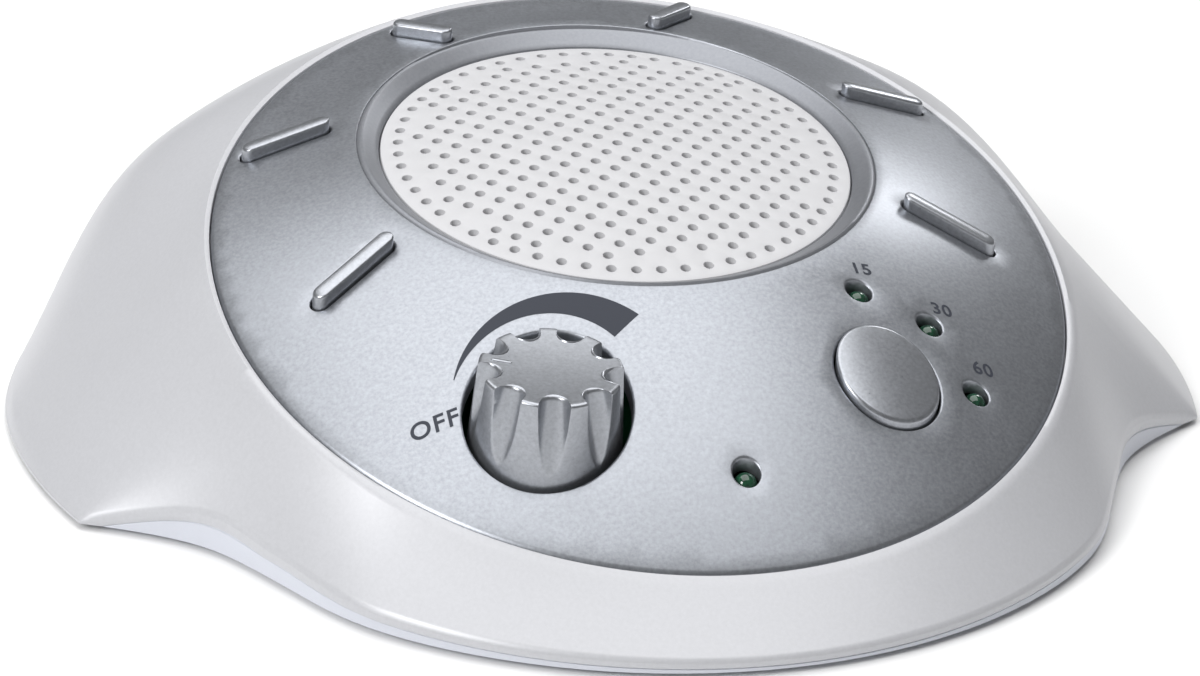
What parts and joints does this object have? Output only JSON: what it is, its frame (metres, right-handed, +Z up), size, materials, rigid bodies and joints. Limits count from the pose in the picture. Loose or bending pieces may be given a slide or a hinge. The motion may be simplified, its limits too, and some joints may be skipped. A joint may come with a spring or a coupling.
{
  "type": "white noise sound machine",
  "caption": "Low flared bedside sound machine with a tilted round panel, a domed speaker grille, sound keys, a fluted volume knob and a sleep timer button.",
  "frame": {"origin": "on the table, under the middle of the object's bounding box", "axes": "+X to the object's right as its user sees it, +Y to the back, +Z up"},
  "size_m": [0.1616, 0.1432, 0.0417],
  "materials": {
    "pearl_shell": "pearl silver-white satin plastic",
    "base_plastic": "pale blue-grey plastic",
    "panel_silver": "satin metallic silver paint",
    "ring_grey": "satin blue-grey paint",
    "grille_metal": "matte light grey paint",
    "silver_button": "satin silver paint",
    "led_green": "dark green clear lens",
    "paper_cone": "black treated paper",
    "steel": "zinc plated",
    "magnet": "dark ferrite",
    "board_green": "green solder mask",
    "black_plastic": "moulded black plastic",
    "rubber": "soft black rubber"
  },
  "bodies": {
    "housing": {"top_shell": "pearl_shell", "base_shell": "base_plastic", "control_panel": "panel_silver", "grille_ring": "ring_grey", "speaker_grille": "grille_metal", "speaker_frame": "steel", "speaker_cone": "paper_cone", "speaker_magnet": "magnet", "speaker_screws": "steel", "circuit_board": "board_green", "rear_board": "board_green", "board_screws": "steel", "push_switches": "black_plastic", "volume_pot": "steel", "power_led": "led_green", "timer_led_15": "led_green", "timer_led_30": "led_green", "timer_led_60": "led_green", "dc_jack": "black_plastic", "battery_springs": "steel", "battery_plates": "steel", "case_screws": "steel", "rubber_feet": "rubber"},
    "knob": {"volume_knob": "silver_button", "pot_shaft": "steel"},
    "timer_key": {"timer_button": "silver_button"},
    "door": {"battery_door": "base_plastic"},
    "sound_key_1": {"sound_button_1": "silver_button"},
    "sound_key_2": {"sound_button_2": "silver_button"},
    "sound_key_3": {"sound_button_3": "silver_button"},
    "sound_key_4": {"sound_button_4": "silver_button"},
    "sound_key_5": {"sound_button_5": "silver_button"},
    "sound_key_6": {"sound_button_6": "silver_button"}
  },
  "joints": [
    {"name": "volume_turn", "type": "hinge", "parent": "housing", "child": "knob", "pos_m": [-0.0221, -0.03935, 0.022], "axis": [0, -0.1392, 0.9903], "range_deg": [-140, 0]},
    {"name": "sound_press_1", "type": "slide", "parent": "housing", "child": "sound_key_1", "axis": [0, -0.1392, 0.9903], "range_m": [-0.0006, 0], "stiffness_N_per_m": 1500, "springref_m": 0.0002},
    {"name": "sound_press_2", "type": "slide", "parent": "housing", "child": "sound_key_2", "axis": [0, -0.1392, 0.9903], "range_m": [-0.0006, 0], "stiffness_N_per_m": 1500, "springref_m": 0.0002},
    {"name": "sound_press_3", "type": "slide", "parent": "housing", "child": "sound_key_3", "axis": [0, -0.1392, 0.9903], "range_m": [-0.0006, 0], "stiffness_N_per_m": 1500, "springref_m": 0.0002},
    {"name": "sound_press_4", "type": "slide", "parent": "housing", "child": "sound_key_4", "axis": [0, -0.1392, 0.9903], "range_m": [-0.0006, 0], "stiffness_N_per_m": 1500, "springref_m": 0.0002},
    {"name": "sound_press_5", "type": "slide", "parent": "housing", "child": "sound_key_5", "axis": [0, -0.1392, 0.9903], "range_m": [-0.0006, 0], "stiffness_N_per_m": 1500, "springref_m": 0.0002},
    {"name": "sound_press_6", "type": "slide", "parent": "housing", "child": "sound_key_6", "axis": [0, -0.1392, 0.9903], "range_m": [-0.0006, 0], "stiffness_N_per_m": 1500, "springref_m": 0.0002},
    {"name": "timer_press", "type": "slide", "parent": "housing", "child": "timer_key", "axis": [0, -0.1392, 0.9903], "range_m": [-0.0006, 0], "stiffness_N_per_m": 1500, "springref_m": 0.0002},
    {"name": "battery_door_open", "type": "hinge", "parent": "housing", "child": "door", "pos_m": [0, -0.00255, 0.0016], "axis": [1, 0, 0], "range_deg": [-60, 0]}
  ]
}
